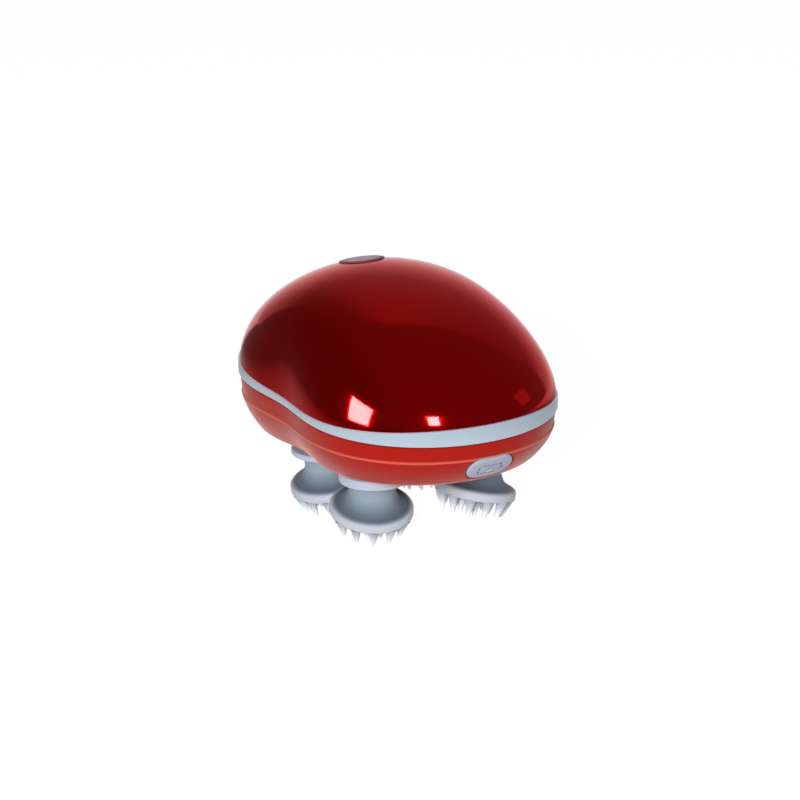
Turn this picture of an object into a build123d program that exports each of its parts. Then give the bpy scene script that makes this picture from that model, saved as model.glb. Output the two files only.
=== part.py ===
from build123d import *
from math import acos, atan2, cos, degrees, pi, radians, sin, sqrt, tan
import os

# Electric scalp massager: a pinched oval hand piece that turns four tilted silicone heads.
# Millimetres. X is the width, -Y the nose with the charging port, +Z up.
# z = 0 lies under the lowest prong tips, and x = y = 0 is the middle of the outline.

os.makedirs("parts", exist_ok=True)

# ---------------------------------------------------------------- driving dimensions

# Outline of the body seen from above, as a radius that varies with the angle from the nose
half_length = 62.6
half_waist = 40.8
nose_lead = 2.0
nose_taper = -0.4
flank_fullness = -1.2

# Heights
belt_z = 43.1
belt_nose_height = 5.75
belt_waist_height = 2.5
belt_tail_height = 6.4
crown_rise = 38.1
crown_fade = 3.0
crown_setback = 6.2
pan_depth = 18.6
pan_rake = 2.46
wall = 2.2

# Steps and ledge where the three shells meet
crown_step = 0.5
pan_step = 0.6
ledge_depth = 6.4
ledge_inset = 1.35
below_ledge_inset = 0.95
belt_thickness = 3.6

# Drive: every pair of wheels is worked out from its module and teeth
pressure_angle = 25.0
addendum = 0.85
dedendum = 1.1
backlash = 0.12
head_module = 1.0
sun_teeth = 30
output_teeth = 22
wheel_module = 0.6
centre_teeth = 52
idler_small_teeth = 12
idler_large_teeth = 42
motor_teeth = 12
array_y = -6.3
heads_apart = 41.8

# Levels of the gearbox
gear_floor_z = 28.6
plate_thickness = 2.0
gear_face = 4.0
wheel_face = 3.0
level_gap = 0.5
flange_thickness = 0.8
axial_gap = 0.3
shaft_radius = 2.5
spindle_radius = 1.5
running_gap = 0.04
bush_wall = 1.5
floor_size = (60.0, 71.0)
floor_y = -4.1
plate_corner = 6.0
front_post = (25.0, -36.6)
rear_post = (26.2, 27.4)
post_radius = 2.7

# Turntables and the seals round their necks
turntable_radius = 11.4
turntable_z = 21.1
turntable_gap = 0.5
neck_radius = 6.5
neck_gap = 0.25
seal_width = 2.5
seal_z = 26.2
seal_thickness = 1.8

# Heads: each leans, and its axis meets the turntable's axis high up, so the rim wobbles round
head_tilt = 12.5
lean_turn = 38.0
rim_offset = 2.6
rim_radius = 13.9
rim_band = 3.5
bell_neck_radius = 7.4
core_radius = 4.8
core_floor = 1.8
core_height = 4.4
stub_radius = 2.9

# Prongs: counts, and the rings of their roots and of their tips
prong_length = 6.9
prong_radius = 1.75
prong_tip_radius = 0.35
prong_sides = 5
prong_phase = 19.3
outer_prongs = 12
outer_ring = 11.7
outer_tip_ring = 10.2
inner_prongs = 8
inner_ring = 6.6
inner_tip_ring = 6.1

# Power button, on the back of the crown
button_lift = 74.9
button_radius = 6.4
button_stand = 0.95
button_gap = 0.2
button_thickness = 2.4
bezel_width = 1.1
bezel_stand = 0.05
board_drop = 9.5
switch_height = 3.4
switch_size = 6.2
plunger_radius = 1.6
plunger_reach = 0.9
button_travel = 0.6

# Charging port and its flap, in the nose of the pan
port_depth = 11.9
flap_width = 16.8
flap_height = 9.3
flap_thickness = 2.0
flap_stand = 0.3
flap_gap = 0.35
socket_width = 7.6
socket_height = 2.6
socket_length = 6.0

# Motor, cell and screws
motor_radius = 12.0
motor_length = 20.0
cell_size = (46.0, 32.0, 9.0)
cell_y = -16.5
cradle_wall = 1.4
shell_screw_front = (17.0, -44.5)
shell_screw_rear = (18.0, 41.0)
screw_radius = 1.3
screw_head_radius = 2.5
boss_radius = 4.0
board_screw_radius = 0.9
seal_groove = 0.9

# ---------------------------------------------------------------- shape of the body

mean_radius = (half_length + half_waist) / 2 - flank_fullness
pinch = (half_length - half_waist) / 2
body_y = nose_lead + nose_taper
crown_base_z = belt_z + belt_waist_height
outline_steps = 28
crown_lifts = (-3.5, 6, 17, 29, 42, 55, 67, 78, 86)
pan_rings = (
    (ledge_depth, below_ledge_inset),
    (9.2, 2.0),
    (12.0, 3.5),
    (15.0, 5.7),
    (17.3, 8.0),
    (pan_depth, 11.0),
)


def lobes(angle):
    """How far the outline leaves a plain circle, at an angle from the nose in radians."""
    bias = nose_lead * cos(angle) + nose_taper * cos(3 * angle)
    return bias + pinch * cos(2 * angle) + flank_fullness * cos(4 * angle)


def oval(plane, size=1.0, fade=1.0, inset=0.0, shift=0.0):
    """The body's outline on a plane: smaller and rounder as size and fade fall."""
    points = []
    for step in range(outline_steps):
        angle = 2 * pi * step / outline_steps
        radius = size * (mean_radius + fade * lobes(angle)) - inset
        points.append((radius * sin(angle), body_y + shift - radius * cos(angle)))
    with BuildSketch(plane) as section:
        with BuildLine():
            Spline(*points, periodic=True)
        make_face()
    return section.sketch


def crown_section(lift, inset):
    """One level of the crown, lift degrees up from its base."""
    size = cos(radians(lift))
    plane = Plane.XY.offset(crown_base_z + (crown_rise - inset) * sin(radians(lift)))
    return oval(plane, size, size**crown_fade, (crown_step + inset) * size, crown_setback * (1 - size))


def crown_point(lift, inset=0.0):
    """A point of the crown's ridge behind the apex."""
    size = cos(radians(lift))
    radius = size * (mean_radius + size**crown_fade * lobes(pi)) - (crown_step + inset) * size
    z = crown_base_z + (crown_rise - inset) * sin(radians(lift))
    return Vector(0, body_y + crown_setback * (1 - size) + radius, z)


def pan_plane(depth):
    """The raked plane that lies depth below the belt."""
    return Plane.XY.offset(belt_z - depth).rotated((-pan_rake * max(depth, 0) / pan_depth, 0, 0))


def pan_floor_z(y, depth=pan_depth):
    """Height of the raked plane at a given y."""
    return belt_z - depth - tan(radians(pan_rake * depth / pan_depth)) * y


def pan_section(depth, inset):
    return oval(pan_plane(depth), inset=inset)


def between(low, high, reach=200.0):
    """A tall slab between two heights, used to trim other pieces."""
    with BuildSketch(Plane.XY.offset(low)) as slab:
        Rectangle(reach, reach)
    return extrude(slab.sketch, amount=high - low)


def finish(piece, name):
    """Name a finished piece and write it."""
    piece.label = name
    export_step(piece, f"parts/{name}.step")


# ---------------------------------------------------------------- gears


def involute(angle):
    return tan(angle) - angle


def wheel(plane, module, teeth, phase, bore=0.0):
    """A spur wheel with straight chords for flanks; phase is where a tooth points."""
    pitch_radius = module * teeth / 2
    base_radius = pitch_radius * cos(radians(pressure_angle))
    root_radius = pitch_radius - dedendum * module
    tip_radius = pitch_radius + addendum * module
    half_tooth = pi / (2 * teeth) - backlash / (2 * pitch_radius) + involute(radians(pressure_angle))
    flank = []
    for radius in (root_radius, pitch_radius, tip_radius):
        lean = acos(min(1.0, base_radius / radius))
        flank.append((radius, half_tooth - involute(lean)))
    points = []
    for tooth in range(teeth):
        middle = radians(phase) + 2 * pi * tooth / teeth
        for radius, spread in flank:
            points.append((radius * cos(middle - spread), radius * sin(middle - spread)))
        for radius, spread in reversed(flank):
            points.append((radius * cos(middle + spread), radius * sin(middle + spread)))
    with BuildSketch(plane) as outline:
        with BuildLine():
            Polyline(*points, close=True)
        make_face()
        if bore:
            Circle(bore, mode=Mode.SUBTRACT)
    return outline.sketch


def meshing_phase(driver_teeth, driver_phase, driven_teeth, direction):
    """Where the driven wheel's tooth points, so that it meshes with the driver."""
    past_tooth = ((direction - driver_phase) * driver_teeth / 360) % 1
    return direction + 180 + (past_tooth + 0.5) * 360 / driven_teeth


head_arm = head_module * (sun_teeth + output_teeth) / 2
heads_apart_lengthwise = 2 * sqrt(head_arm**2 - (heads_apart / 2) ** 2)
idler_arm = wheel_module * (centre_teeth + idler_small_teeth) / 2
motor_arm = wheel_module * (idler_large_teeth + motor_teeth) / 2
idler_y = array_y + idler_arm
motor_y = idler_y + motor_arm

output_z = gear_floor_z + plate_thickness + flange_thickness + axial_gap
centre_wheel_z = output_z + gear_face + level_gap
idler_wheel_z = centre_wheel_z + wheel_face + level_gap
gear_roof_z = idler_wheel_z + wheel_face + level_gap + axial_gap
roof_top_z = gear_roof_z + plate_thickness

sun_phase = 0.0
centre_phase = 0.0
idler_small_phase = meshing_phase(centre_teeth, centre_phase, idler_small_teeth, 90)
idler_large_phase = 0.0
motor_phase = meshing_phase(idler_large_teeth, idler_large_phase, motor_teeth, 90)

corners = {
    "front_left": (-1, -1),
    "front_right": (1, -1),
    "rear_right": (1, 1),
    "rear_left": (-1, 1),
}


def corner_point(signs):
    return signs[0] * heads_apart / 2, array_y + signs[1] * heads_apart_lengthwise / 2


def both_sides(*points):
    return [(side * x, y) for x, y in points for side in (1, -1)]


drive_points = [corner_point(signs) for signs in corners.values()]
post_points = both_sides(front_post, rear_post)
shell_screw_points = both_sides(shell_screw_front, shell_screw_rear)

# ---------------------------------------------------------------- planes of button and port

ridge_slope = crown_point(button_lift + 0.5) - crown_point(button_lift - 0.5)
button_plane = Plane(
    origin=crown_point(button_lift), x_dir=(1, 0, 0), z_dir=ridge_slope.cross(Vector(1, 0, 0))
)


def pan_inset_at(depth):
    """The pan's inset between its rings, on straight lines."""
    for (upper, start), (lower, end) in zip(pan_rings, pan_rings[1:]):
        if upper <= depth <= lower:
            return start + (end - start) * (depth - upper) / (lower - upper)
    return 0.0


def nose_point(depth):
    """A point of the pan's nose line."""
    y = body_y - mean_radius - lobes(0) + pan_inset_at(depth)
    return Vector(0, y, pan_floor_z(y, depth))


nose_up = nose_point(port_depth - flap_height / 3) - nose_point(port_depth + flap_height / 3)
port_plane = Plane(
    origin=nose_point(port_depth), x_dir=(1, 0, 0), z_dir=Vector(1, 0, 0).cross(nose_up)
)
port_z = nose_point(port_depth).Z
port_y = nose_point(port_depth).Y

# ---------------------------------------------------------------- belt

def under_belt_top(low, beyond=8.0):
    """A slab across the body from a height up to the belt's curved top edge."""
    with BuildPart() as slab:
        with BuildSketch(Plane.YZ):
            with BuildLine():
                rise = ThreePointArc(
                    (-half_length, belt_z + belt_nose_height),
                    (0, belt_z + belt_waist_height),
                    (half_length, belt_z + belt_tail_height),
                )
                nose_end = rise @ 0 - beyond * (rise % 0)
                tail_end = rise @ 1 + beyond * (rise % 1)
                Polyline(rise @ 1, tail_end, (tail_end.X, low), (nose_end.X, low), nose_end, rise @ 0)
            make_face()
        extrude(amount=half_waist + 10, both=True)
    return slab.part


with BuildPart() as belt_ring:
    loft([oval(Plane.XY.offset(belt_z)), oval(Plane.XY.offset(belt_z + 12))])
    loft(
        [oval(Plane.XY.offset(belt_z - 1), inset=belt_thickness),
         oval(Plane.XY.offset(belt_z + 13), inset=belt_thickness)],
        mode=Mode.SUBTRACT,
    )
    add(under_belt_top(belt_z), mode=Mode.INTERSECT)
finish(belt_ring.part, "belt_ring")

# ---------------------------------------------------------------- crown (upper shell)

board_plane = button_plane.offset(-board_drop)
board_pegs = [(11.5, 8.0), (-11.5, 8.0), (11.5, -8.0), (-11.5, -8.0)]
peg_radius = 1.1

with BuildPart() as crown_cavity:
    loft([crown_section(lift, wall) for lift in crown_lifts])
    with BuildSketch(Plane.XY.offset(belt_z + 0.3)):
        with Locations(*shell_screw_points):
            Circle(boss_radius)
    extrude(amount=crown_rise, mode=Mode.SUBTRACT)
    with BuildSketch(board_plane):
        with Locations(*board_pegs):
            Circle(2 * peg_radius)
    extrude(amount=board_drop, mode=Mode.SUBTRACT)

with BuildPart() as upper_shell:
    loft([crown_section(lift, 0) for lift in crown_lifts])
    add(crown_cavity.part, mode=Mode.SUBTRACT)
    add(under_belt_top(belt_z - 20), mode=Mode.SUBTRACT)
    with BuildSketch(Plane.XY.offset(belt_z)):
        with Locations(*shell_screw_points):
            Circle(boss_radius)
    extrude(amount=belt_nose_height + belt_tail_height)
    add(crown_cavity.part, mode=Mode.SUBTRACT)
    with BuildSketch(Plane.XY.offset(belt_z)):
        with Locations(*shell_screw_points):
            Circle(screw_radius)
    extrude(amount=9, mode=Mode.SUBTRACT)
    with BuildSketch(button_plane.offset(5)):
        Circle(button_radius + button_gap)
    extrude(amount=-12, mode=Mode.SUBTRACT)
    with BuildSketch(button_plane.offset(5)):
        Circle(button_radius + button_gap + bezel_width)
    extrude(amount=-6.1, mode=Mode.SUBTRACT)
    with BuildSketch(board_plane):
        with Locations(*board_pegs):
            Circle(board_screw_radius)
    extrude(amount=4, mode=Mode.SUBTRACT)
finish(upper_shell.part, "upper_shell")

# ---------------------------------------------------------------- pan (lower shell)

cavity_rings = (
    (-1.0, pan_step),
    (ledge_depth, ledge_inset),
    (12.0, 3.5),
    (pan_depth - wall, 7.6),
)
collar_radius = neck_radius + neck_gap + seal_width + 1.3
socket_z = port_z - socket_height / 2
charge_board_thickness = 1.0
socket_y = port_y + 5.2
block_depth = 6.0
shelf_length = 15.5
anchor_size = (6.0, 1.4)
anchor_cover = 1.3
anchor_depth = 1.2
anchor_y = -flap_height / 2 - flap_gap - anchor_size[1] / 2


def pan_body(swell=0.0):
    """The pan's outer form, swell larger all round."""
    with BuildPart() as body:
        loft([pan_section(0, pan_step - swell), pan_section(ledge_depth, ledge_inset - swell)])
        loft([pan_section(depth, inset - swell) for depth, inset in pan_rings])
    return body.part


with BuildPart() as pan_cavity:
    loft([pan_section(depth, inset + wall) for depth, inset in cavity_rings])
    with BuildSketch(Plane.XY):
        with Locations(*shell_screw_points):
            Circle(boss_radius)
    extrude(amount=belt_z, mode=Mode.SUBTRACT)
    with BuildSketch(Plane.XY):
        with Locations(*post_points):
            Circle(post_radius + 0.6)
    extrude(amount=gear_floor_z, mode=Mode.SUBTRACT)
    with BuildSketch(Plane.XY):
        with Locations(*drive_points):
            Circle(collar_radius)
    extrude(amount=seal_z + seal_thickness, mode=Mode.SUBTRACT)
    with BuildSketch(Plane.XY):
        with Locations((0, port_y)):
            Rectangle(flap_width + 5, 2 * block_depth)
    extrude(amount=port_z + flap_height / 2 + 2, mode=Mode.SUBTRACT)
    with BuildSketch(Plane.XY):
        with Locations((0, port_y)):
            Rectangle(17, 2 * shelf_length)
    extrude(amount=socket_z - charge_board_thickness, mode=Mode.SUBTRACT)

with BuildPart() as lower_shell:
    add(pan_body())
    add(pan_cavity.part, mode=Mode.SUBTRACT)
    with BuildSketch(Plane.XY.offset(belt_z)):
        add(oval(Plane.XY, inset=pan_step + 0.7))
        add(oval(Plane.XY, inset=pan_step + 0.7 + seal_groove), mode=Mode.SUBTRACT)
    extrude(amount=-seal_groove, mode=Mode.SUBTRACT)
    with BuildSketch(Plane.XY):
        with Locations(*shell_screw_points):
            Circle(screw_radius + 0.3)
        with Locations(*drive_points):
            Circle(neck_radius + 2 * neck_gap)
    extrude(amount=belt_z + 1, mode=Mode.SUBTRACT)
    with BuildSketch(Plane.XY):
        with Locations(*shell_screw_points):
            Circle(screw_head_radius + 0.3)
    extrude(amount=gear_floor_z + 3, mode=Mode.SUBTRACT)
    with BuildSketch(Plane.XY.offset(seal_z)):
        with Locations(*drive_points):
            Circle(neck_radius + neck_gap + seal_width)
    extrude(amount=5, mode=Mode.SUBTRACT)
    with BuildSketch(Plane.XY.offset(gear_floor_z)):
        with Locations(*post_points):
            Circle(screw_radius)
    extrude(amount=-2.0, mode=Mode.SUBTRACT)
    with BuildSketch(port_plane.offset(-flap_thickness - 0.05)):
        SlotOverall(flap_width + 2 * flap_gap, flap_height + 2 * flap_gap)
    extrude(amount=8, mode=Mode.SUBTRACT)
    with BuildSketch(port_plane.offset(-flap_thickness - 2.6)):
        RectangleRounded(socket_width + 2, 5.2, 1.2)
    extrude(amount=4, mode=Mode.SUBTRACT)
    with BuildSketch(Plane.XZ.offset(-port_y - 2)):
        with Locations((0, port_z)):
            RectangleRounded(socket_width + 0.6, socket_height + 0.6, 0.8)
    extrude(amount=-block_depth, mode=Mode.SUBTRACT)
    with BuildSketch(port_plane.offset(-anchor_cover)):
        with Locations((0, anchor_y)):
            Rectangle(*anchor_size)
    extrude(amount=-anchor_depth, mode=Mode.SUBTRACT)
finish(lower_shell.part, "lower_shell")

with BuildPart() as shell_seal:
    with BuildSketch(Plane.XY.offset(belt_z)):
        add(oval(Plane.XY, inset=pan_step + 0.7))
        add(oval(Plane.XY, inset=pan_step + 0.7 + seal_groove), mode=Mode.SUBTRACT)
    extrude(amount=-seal_groove)
finish(shell_seal.part, "shell_seal")

# ---------------------------------------------------------------- charging port

with BuildPart() as usb_flap:
    with BuildSketch(port_plane.offset(-flap_thickness)):
        SlotOverall(flap_width, flap_height)
    extrude(amount=8)
    add(pan_body(flap_stand), mode=Mode.INTERSECT)
    with BuildSketch(port_plane.offset(-flap_thickness)):
        RectangleRounded(socket_width - 0.4, 1.8, 0.5)
    extrude(amount=-1.3)
finish(usb_flap.part, "usb_flap")

with BuildPart() as flap_anchor:
    with BuildSketch(port_plane.offset(-anchor_cover)):
        with Locations((0, anchor_y)):
            Rectangle(*anchor_size)
    extrude(amount=-anchor_depth)
finish(flap_anchor.part, "flap_anchor")

with BuildPart() as charge_board:
    with BuildSketch(Plane.XY.offset(socket_z)):
        with Locations((0, port_y + (block_depth + shelf_length) / 2)):
            RectangleRounded(16, shelf_length - block_depth - 0.4, 0.8)
    extrude(amount=-charge_board_thickness)
finish(charge_board.part, "charge_board")

with BuildPart() as charge_socket:
    with BuildSketch(Plane.XZ.offset(-socket_y)):
        with Locations((0, port_z)):
            RectangleRounded(socket_width, socket_height, 0.7)
    extrude(amount=-socket_length)
    with BuildSketch(Plane.XZ.offset(-socket_y)):
        with Locations((0, port_z)):
            RectangleRounded(socket_width - 0.7, socket_height - 0.7, 0.5)
            Rectangle(socket_width - 2.4, 0.6, mode=Mode.SUBTRACT)
    extrude(amount=-socket_length + 1.2, mode=Mode.SUBTRACT)
finish(charge_socket.part, "charge_socket")

# ---------------------------------------------------------------- button, board and switch

with BuildPart() as button_bezel:
    with BuildSketch(button_plane.offset(-1.1)):
        Circle(button_radius + button_gap + bezel_width)
        Circle(button_radius + button_gap, mode=Mode.SUBTRACT)
    extrude(amount=1.1 + bezel_stand)
finish(button_bezel.part, "button_bezel")

stem_end = switch_height + plunger_reach - board_drop
flange_top = -3.6
with BuildPart() as power_button:
    with BuildSketch(button_plane.offset(button_stand)):
        Circle(button_radius)
    extrude(amount=-button_thickness)
    fillet(power_button.edges().group_by(Axis(button_plane.origin, button_plane.z_dir))[-1], 0.5)
    with BuildSketch(button_plane.offset(button_stand - button_thickness)):
        Circle(button_radius - 0.9)
    extrude(amount=flange_top - button_stand + button_thickness)
    with BuildSketch(button_plane.offset(flange_top)):
        Circle(button_radius + 1.0)
    extrude(amount=-0.8)
    with BuildSketch(button_plane.offset(flange_top - 0.8)):
        Circle(plunger_radius + 0.5)
    extrude(amount=stem_end - flange_top + 0.8)
finish(power_button.part, "power_button")

with BuildPart() as switch_plunger:
    with BuildSketch(board_plane.offset(switch_height + plunger_reach)):
        Circle(plunger_radius)
    extrude(amount=-plunger_reach - 1.6)
finish(switch_plunger.part, "switch_plunger")

with BuildPart() as tact_switch:
    with BuildSketch(board_plane):
        RectangleRounded(switch_size, switch_size, 0.5)
    extrude(amount=switch_height)
    with BuildSketch(board_plane.offset(switch_height)):
        Circle(plunger_radius + running_gap)
    extrude(amount=-1.6 - button_travel - 0.3, mode=Mode.SUBTRACT)
finish(tact_switch.part, "tact_switch")

board_thickness = 1.2
with BuildPart() as control_board:
    with BuildSketch(board_plane):
        RectangleRounded(30, 23, 2)
        with Locations(*board_pegs):
            Circle(board_screw_radius + 0.1, mode=Mode.SUBTRACT)
    extrude(amount=-board_thickness)
finish(control_board.part, "control_board")

with BuildPart() as board_screws:
    with BuildSketch(board_plane.offset(-board_thickness)):
        with Locations(*board_pegs):
            Circle(2 * board_screw_radius)
    extrude(amount=-1.2)
    with BuildSketch(board_plane.offset(-board_thickness)):
        with Locations(*board_pegs):
            Circle(board_screw_radius)
    extrude(amount=board_thickness + 3.5)
finish(board_screws.part, "board_screws")

# ---------------------------------------------------------------- gearbox frame

bush_radius = shaft_radius + running_gap + bush_wall
wheel_points = [(0, array_y), (0, idler_y)]

with BuildPart() as gearbox_floor:
    with BuildSketch(Plane.XY.offset(gear_floor_z)):
        with Locations((0, floor_y)):
            RectangleRounded(*floor_size, plate_corner)
        with Locations(*drive_points):
            Circle(bush_radius, mode=Mode.SUBTRACT)
        with Locations(*wheel_points):
            Circle(spindle_radius, mode=Mode.SUBTRACT)
        with Locations(*post_points):
            Circle(screw_radius + 0.1, mode=Mode.SUBTRACT)
    extrude(amount=plate_thickness)
finish(gearbox_floor.part, "gearbox_floor")

with BuildPart() as gearbox_roof:
    with BuildSketch(Plane.XY.offset(gear_roof_z)):
        with Locations((0, floor_y)):
            RectangleRounded(*floor_size, plate_corner)
        with Locations((0, motor_y)):
            Circle(motor_radius + 1.5)
    extrude(amount=plate_thickness)
    with BuildSketch(Plane.XY.offset(gear_roof_z)):
        with Locations(*post_points):
            Circle(post_radius)
    extrude(amount=gear_floor_z + plate_thickness - gear_roof_z)
    with BuildSketch(Plane.XY.offset(gear_floor_z)):
        with Locations(*drive_points):
            Circle(bush_radius)
        with Locations(*wheel_points):
            Circle(spindle_radius)
        with Locations(*post_points):
            Circle(screw_radius + 0.1)
        with Locations((0, motor_y)):
            Circle(motor_radius / 4)
    extrude(amount=gear_roof_z + plate_thickness, mode=Mode.SUBTRACT)
    cradle_x = cell_size[0] + 2 * cradle_wall + 0.4
    cradle_y = cell_size[1] + 2 * cradle_wall + 0.4
    with BuildSketch(Plane.XY.offset(roof_top_z)):
        with Locations((0, cell_y)):
            RectangleRounded(cradle_x, cradle_y, cradle_wall + 1)
            RectangleRounded(cradle_x - 2 * cradle_wall, cradle_y - 2 * cradle_wall, 1, mode=Mode.SUBTRACT)
            Rectangle(cradle_x / 2, 2 * cradle_y, mode=Mode.SUBTRACT)
    extrude(amount=cell_size[2] / 2)
finish(gearbox_roof.part, "gearbox_roof")

with BuildPart() as lower_bushes:
    with BuildSketch(Plane.XY.offset(gear_floor_z)):
        with Locations(*drive_points):
            Circle(bush_radius)
    extrude(amount=plate_thickness)
    with BuildSketch(Plane.XY.offset(gear_floor_z + plate_thickness)):
        with Locations(*drive_points):
            Circle(bush_radius + 1.2)
    extrude(amount=flange_thickness)
    with BuildSketch(Plane.XY.offset(gear_floor_z - 1)):
        with Locations(*drive_points):
            Circle(shaft_radius + running_gap)
    extrude(amount=plate_thickness + 3, mode=Mode.SUBTRACT)
finish(lower_bushes.part, "lower_bushes")

with BuildPart() as upper_bushes:
    with BuildSketch(Plane.XY.offset(gear_roof_z)):
        with Locations(*drive_points):
            Circle(bush_radius)
    extrude(amount=plate_thickness)
    with BuildSketch(Plane.XY.offset(gear_roof_z)):
        with Locations(*drive_points):
            Circle(bush_radius + 1.2)
    extrude(amount=-flange_thickness)
    with BuildSketch(Plane.XY.offset(gear_roof_z - 2)):
        with Locations(*drive_points):
            Circle(shaft_radius + running_gap)
    extrude(amount=plate_thickness + 3, mode=Mode.SUBTRACT)
finish(upper_bushes.part, "upper_bushes")

with BuildPart() as wheel_spindles:
    with BuildSketch(Plane.XY.offset(gear_floor_z)):
        with Locations(*wheel_points):
            Circle(spindle_radius)
    extrude(amount=roof_top_z - gear_floor_z)
finish(wheel_spindles.part, "wheel_spindles")

with BuildPart() as gearbox_screws:
    with BuildSketch(Plane.XY.offset(roof_top_z)):
        with Locations(*post_points):
            Circle(screw_head_radius)
    extrude(amount=1.6)
    with BuildSketch(Plane.XY.offset(roof_top_z)):
        with Locations(*post_points):
            Circle(screw_radius)
    extrude(amount=gear_floor_z - 2.0 - roof_top_z)
finish(gearbox_screws.part, "gearbox_screws")

shell_screw_seat = gear_floor_z + 3
with BuildPart() as shell_screws:
    with BuildSketch(Plane.XY.offset(shell_screw_seat)):
        with Locations(*shell_screw_points):
            Circle(screw_head_radius)
    extrude(amount=-1.6)
    with BuildSketch(Plane.XY.offset(shell_screw_seat)):
        with Locations(*shell_screw_points):
            Circle(screw_radius)
    extrude(amount=belt_z + 8 - shell_screw_seat)
finish(shell_screws.part, "shell_screws")

with BuildPart() as drive_seals:
    with BuildSketch(Plane.XY.offset(seal_z)):
        with Locations(*drive_points):
            Circle(neck_radius + neck_gap + seal_width)
            Circle(neck_radius + neck_gap, mode=Mode.SUBTRACT)
    extrude(amount=seal_thickness)
finish(drive_seals.part, "drive_seals")

# ---------------------------------------------------------------- motor, cell and wheels

with BuildPart() as motor_can:
    with BuildSketch(Plane.XY.offset(roof_top_z)):
        with Locations((0, motor_y)):
            Circle(motor_radius)
    extrude(amount=motor_length)
    fillet(motor_can.edges().group_by(Axis.Z)[-1], 1.2)
    with BuildSketch(Plane.XY.offset(roof_top_z + motor_length)):
        with Locations((0, motor_y)):
            Circle(3.5)
    extrude(amount=1.6)
    with BuildSketch(Plane.XY.offset(roof_top_z)):
        with Locations((0, motor_y)):
            Circle(1.0 + running_gap)
    extrude(amount=motor_length - 2, mode=Mode.SUBTRACT)
finish(motor_can.part, "motor_can")

with BuildPart() as motor_pinion:
    with BuildSketch(Plane.XY.offset(idler_wheel_z)):
        with Locations((0, motor_y)):
            add(wheel(Plane.XY, wheel_module, motor_teeth, motor_phase))
    extrude(amount=wheel_face)
    with BuildSketch(Plane.XY.offset(idler_wheel_z)):
        with Locations((0, motor_y)):
            Circle(1.0)
    extrude(amount=roof_top_z + motor_length - 3 - idler_wheel_z)
finish(motor_pinion.part, "motor_pinion")

idler_hub_radius = 2.6
centre_hub_radius = 3.2
with BuildPart() as reduction_gear:
    with BuildSketch(Plane.XY.offset(centre_wheel_z)):
        with Locations((0, idler_y)):
            add(wheel(Plane.XY, wheel_module, idler_small_teeth, idler_small_phase))
    extrude(amount=idler_wheel_z - centre_wheel_z)
    with BuildSketch(Plane.XY.offset(idler_wheel_z)):
        with Locations((0, idler_y)):
            add(wheel(Plane.XY, wheel_module, idler_large_teeth, idler_large_phase))
    extrude(amount=wheel_face)
    with BuildSketch(Plane.XY.offset(gear_floor_z + plate_thickness + axial_gap)):
        with Locations((0, idler_y)):
            Circle(idler_hub_radius)
    extrude(amount=gear_roof_z - gear_floor_z - plate_thickness - 2 * axial_gap)
    with BuildSketch(Plane.XY):
        with Locations((0, idler_y)):
            Circle(spindle_radius + running_gap)
    extrude(amount=roof_top_z, mode=Mode.SUBTRACT)
finish(reduction_gear.part, "reduction_gear")

with BuildPart() as centre_gear:
    with BuildSketch(Plane.XY.offset(output_z)):
        with Locations((0, array_y)):
            add(wheel(Plane.XY, head_module, sun_teeth, sun_phase))
    extrude(amount=gear_face)
    with BuildSketch(Plane.XY.offset(centre_wheel_z)):
        with Locations((0, array_y)):
            add(wheel(Plane.XY, wheel_module, centre_teeth, centre_phase))
    extrude(amount=wheel_face)
    with BuildSketch(Plane.XY.offset(gear_floor_z + plate_thickness + axial_gap)):
        with Locations((0, array_y)):
            Circle(centre_hub_radius)
    extrude(amount=gear_roof_z - gear_floor_z - plate_thickness - 2 * axial_gap)
    with BuildSketch(Plane.XY):
        with Locations((0, array_y)):
            Circle(spindle_radius + running_gap)
    extrude(amount=roof_top_z, mode=Mode.SUBTRACT)
finish(centre_gear.part, "centre_gear")

with BuildPart() as battery_cell:
    with BuildSketch(Plane.XY.offset(roof_top_z)):
        with Locations((0, cell_y)):
            RectangleRounded(cell_size[0], cell_size[1], 2.5)
    extrude(amount=cell_size[2])
    fillet(battery_cell.edges().group_by(Axis.Z)[-1], 1.5)
finish(battery_cell.part, "battery_cell")

# ---------------------------------------------------------------- turntables and heads

core_top = core_floor + core_height
core_flange = 1.3
bell_height = 15.5
prong_root = 0.3
lip_radius = 0.9
off_slope = min(prong_phase, 360 / outer_prongs - prong_phase)
tip_reach = (outer_tip_ring + prong_tip_radius) * cos(radians(off_slope)) * sin(radians(head_tilt))
rim_z = tip_reach + prong_length * cos(radians(head_tilt))
bell_slab = between(turntable_z, turntable_z + 30)


def prong_ends(ring, tip_ring, turn):
    """Root and tip of a slanted prong under a head's face, on a ring of roots and a ring of tips."""
    ends = []
    for height, reach, radius in (
        (prong_root, ring, prong_radius),
        (-prong_length, tip_ring, prong_tip_radius),
    ):
        with BuildSketch(Plane.XY.offset(height)) as end:
            with PolarLocations(reach, 1, turn):
                RegularPolygon(radius, prong_sides)
        ends.append(end.sketch)
    return ends


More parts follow.
